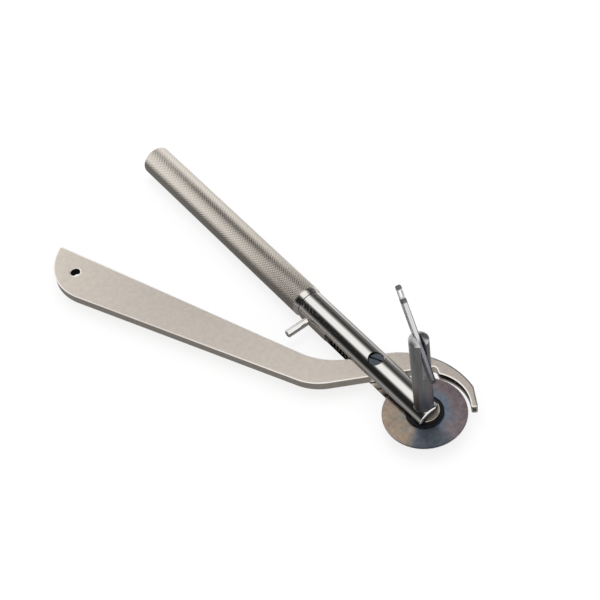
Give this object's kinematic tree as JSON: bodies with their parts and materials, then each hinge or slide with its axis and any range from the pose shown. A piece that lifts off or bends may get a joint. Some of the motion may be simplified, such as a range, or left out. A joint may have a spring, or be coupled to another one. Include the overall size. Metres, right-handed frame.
{
  "type": "ring cutter",
  "caption": "Ring cutter: a knurled grip with a slit barrel, a saw disc turned by a folding key on a post, and a flat pivoted guard lever that hooks round the disc",
  "frame": {"origin": "on the axis of the hanging hole in the lever's far end, in the middle of the lever's thickness", "axes": "+Z along the hanging hole and up the key post, +X along the barrel from the grip to the saw disc"},
  "size_m": [0.137, 0.0635, 0.0453],
  "materials": {
    "barrel_chrome": "polished plating",
    "grip_nickel": "fine knurl under satin nickel",
    "ferrule_polish": "polished",
    "lever_satin": "satin nickel plating",
    "screw_dark": "dark oiled steel",
    "washer_bright": "bright",
    "inner_steel": "plain turned steel",
    "post_steel": "brushed dark steel",
    "collar_black": "black oxide",
    "saw_tint": "hardened steel with heat tint",
    "key_steel": "polished",
    "slider_satin": "satin nickel plating",
    "peg_chrome": "polished plating",
    "spring_dark": "dark spring steel"
  },
  "bodies": {
    "frame": {"barrel": "barrel_chrome", "grip": "grip_nickel", "ferrule": "ferrule_polish", "pivot_screw": "screw_dark", "upper_shim": "inner_steel", "lower_shim": "inner_steel", "thrust_washer": "washer_bright", "return_spring": "spring_dark"},
    "lever": {"guard_lever": "lever_satin"},
    "arbor": {"arbor_post": "post_steel", "hub_collar": "collar_black", "saw_disc": "saw_tint", "lower_spacer": "inner_steel", "end_washer": "inner_steel", "end_screw": "screw_dark", "key_pin": "screw_dark"},
    "key": {"key_bar": "key_steel"},
    "slide": {"slider": "slider_satin", "thumb_peg": "peg_chrome", "guide_rod": "inner_steel"}
  },
  "joints": [
    {"name": "lever_pivot", "type": "hinge", "parent": "frame", "child": "lever", "pos_m": [0.08339, 0.04298, 0], "axis": [0, 0, 1], "range_deg": [-4, 25]},
    {"name": "blade_spin", "type": "hinge", "parent": "frame", "child": "arbor", "pos_m": [0.10259, 0.04298, 0], "axis": [0, 0, 1], "continuous": true},
    {"name": "key_fold", "type": "hinge", "parent": "arbor", "child": "key", "pos_m": [0.10259, 0.04298, 0.0284], "axis": [0.2079, 0.9781, 0], "range_deg": [-52.5, 127.5]},
    {"name": "peg_slide", "type": "slide", "parent": "frame", "child": "slide", "axis": [1, 0, 0], "range_m": [0, 0.004], "stiffness_N_per_m": 400, "springref_m": -0.002, "deforming": ["return_spring"]}
  ]
}
